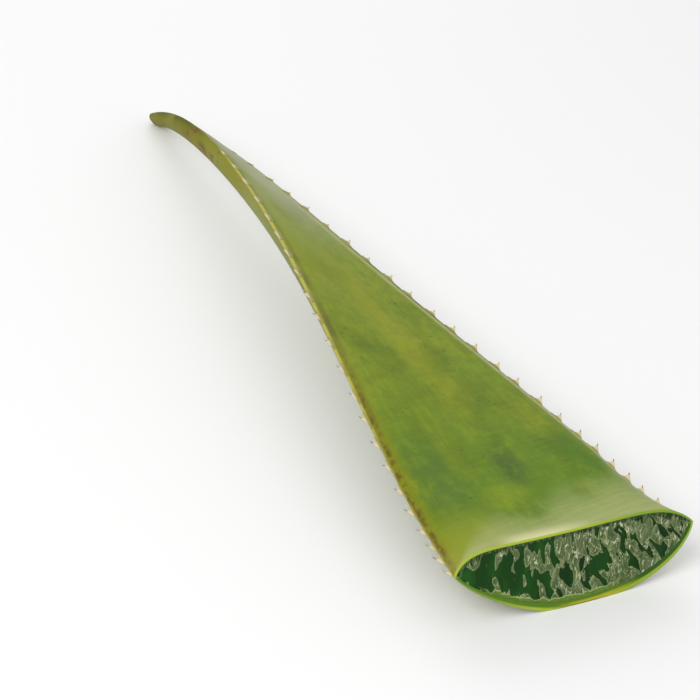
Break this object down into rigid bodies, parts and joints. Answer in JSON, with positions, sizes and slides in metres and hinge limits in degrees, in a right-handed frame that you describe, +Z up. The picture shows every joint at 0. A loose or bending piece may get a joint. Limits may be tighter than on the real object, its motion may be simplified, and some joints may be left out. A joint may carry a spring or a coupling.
{
  "type": "cut aloe vera leaf",
  "caption": "Thick tapering succulent leaf with toothed margins, cut across at its base, showing the clear gel inside its green rind; it lies on its belly.",
  "frame": {"origin": "middle of the small flat spot under the cut end, on the surface that the leaf lies on", "axes": "+Y from the cut end to the tip, +X to the right seen from the cut end, +Z up"},
  "size_m": [0.1069, 0.5026, 0.0546],
  "materials": {
    "rind": "satin green plant skin, mottled, with cream-tipped teeth and a yellow-green edge at the cut",
    "gel": "wet, glossy, translucent dark green flesh with vertical streaks"
  },
  "bodies": {
    "root": {"rind": "rind", "gel": "gel"}
  },
  "joints": []
}
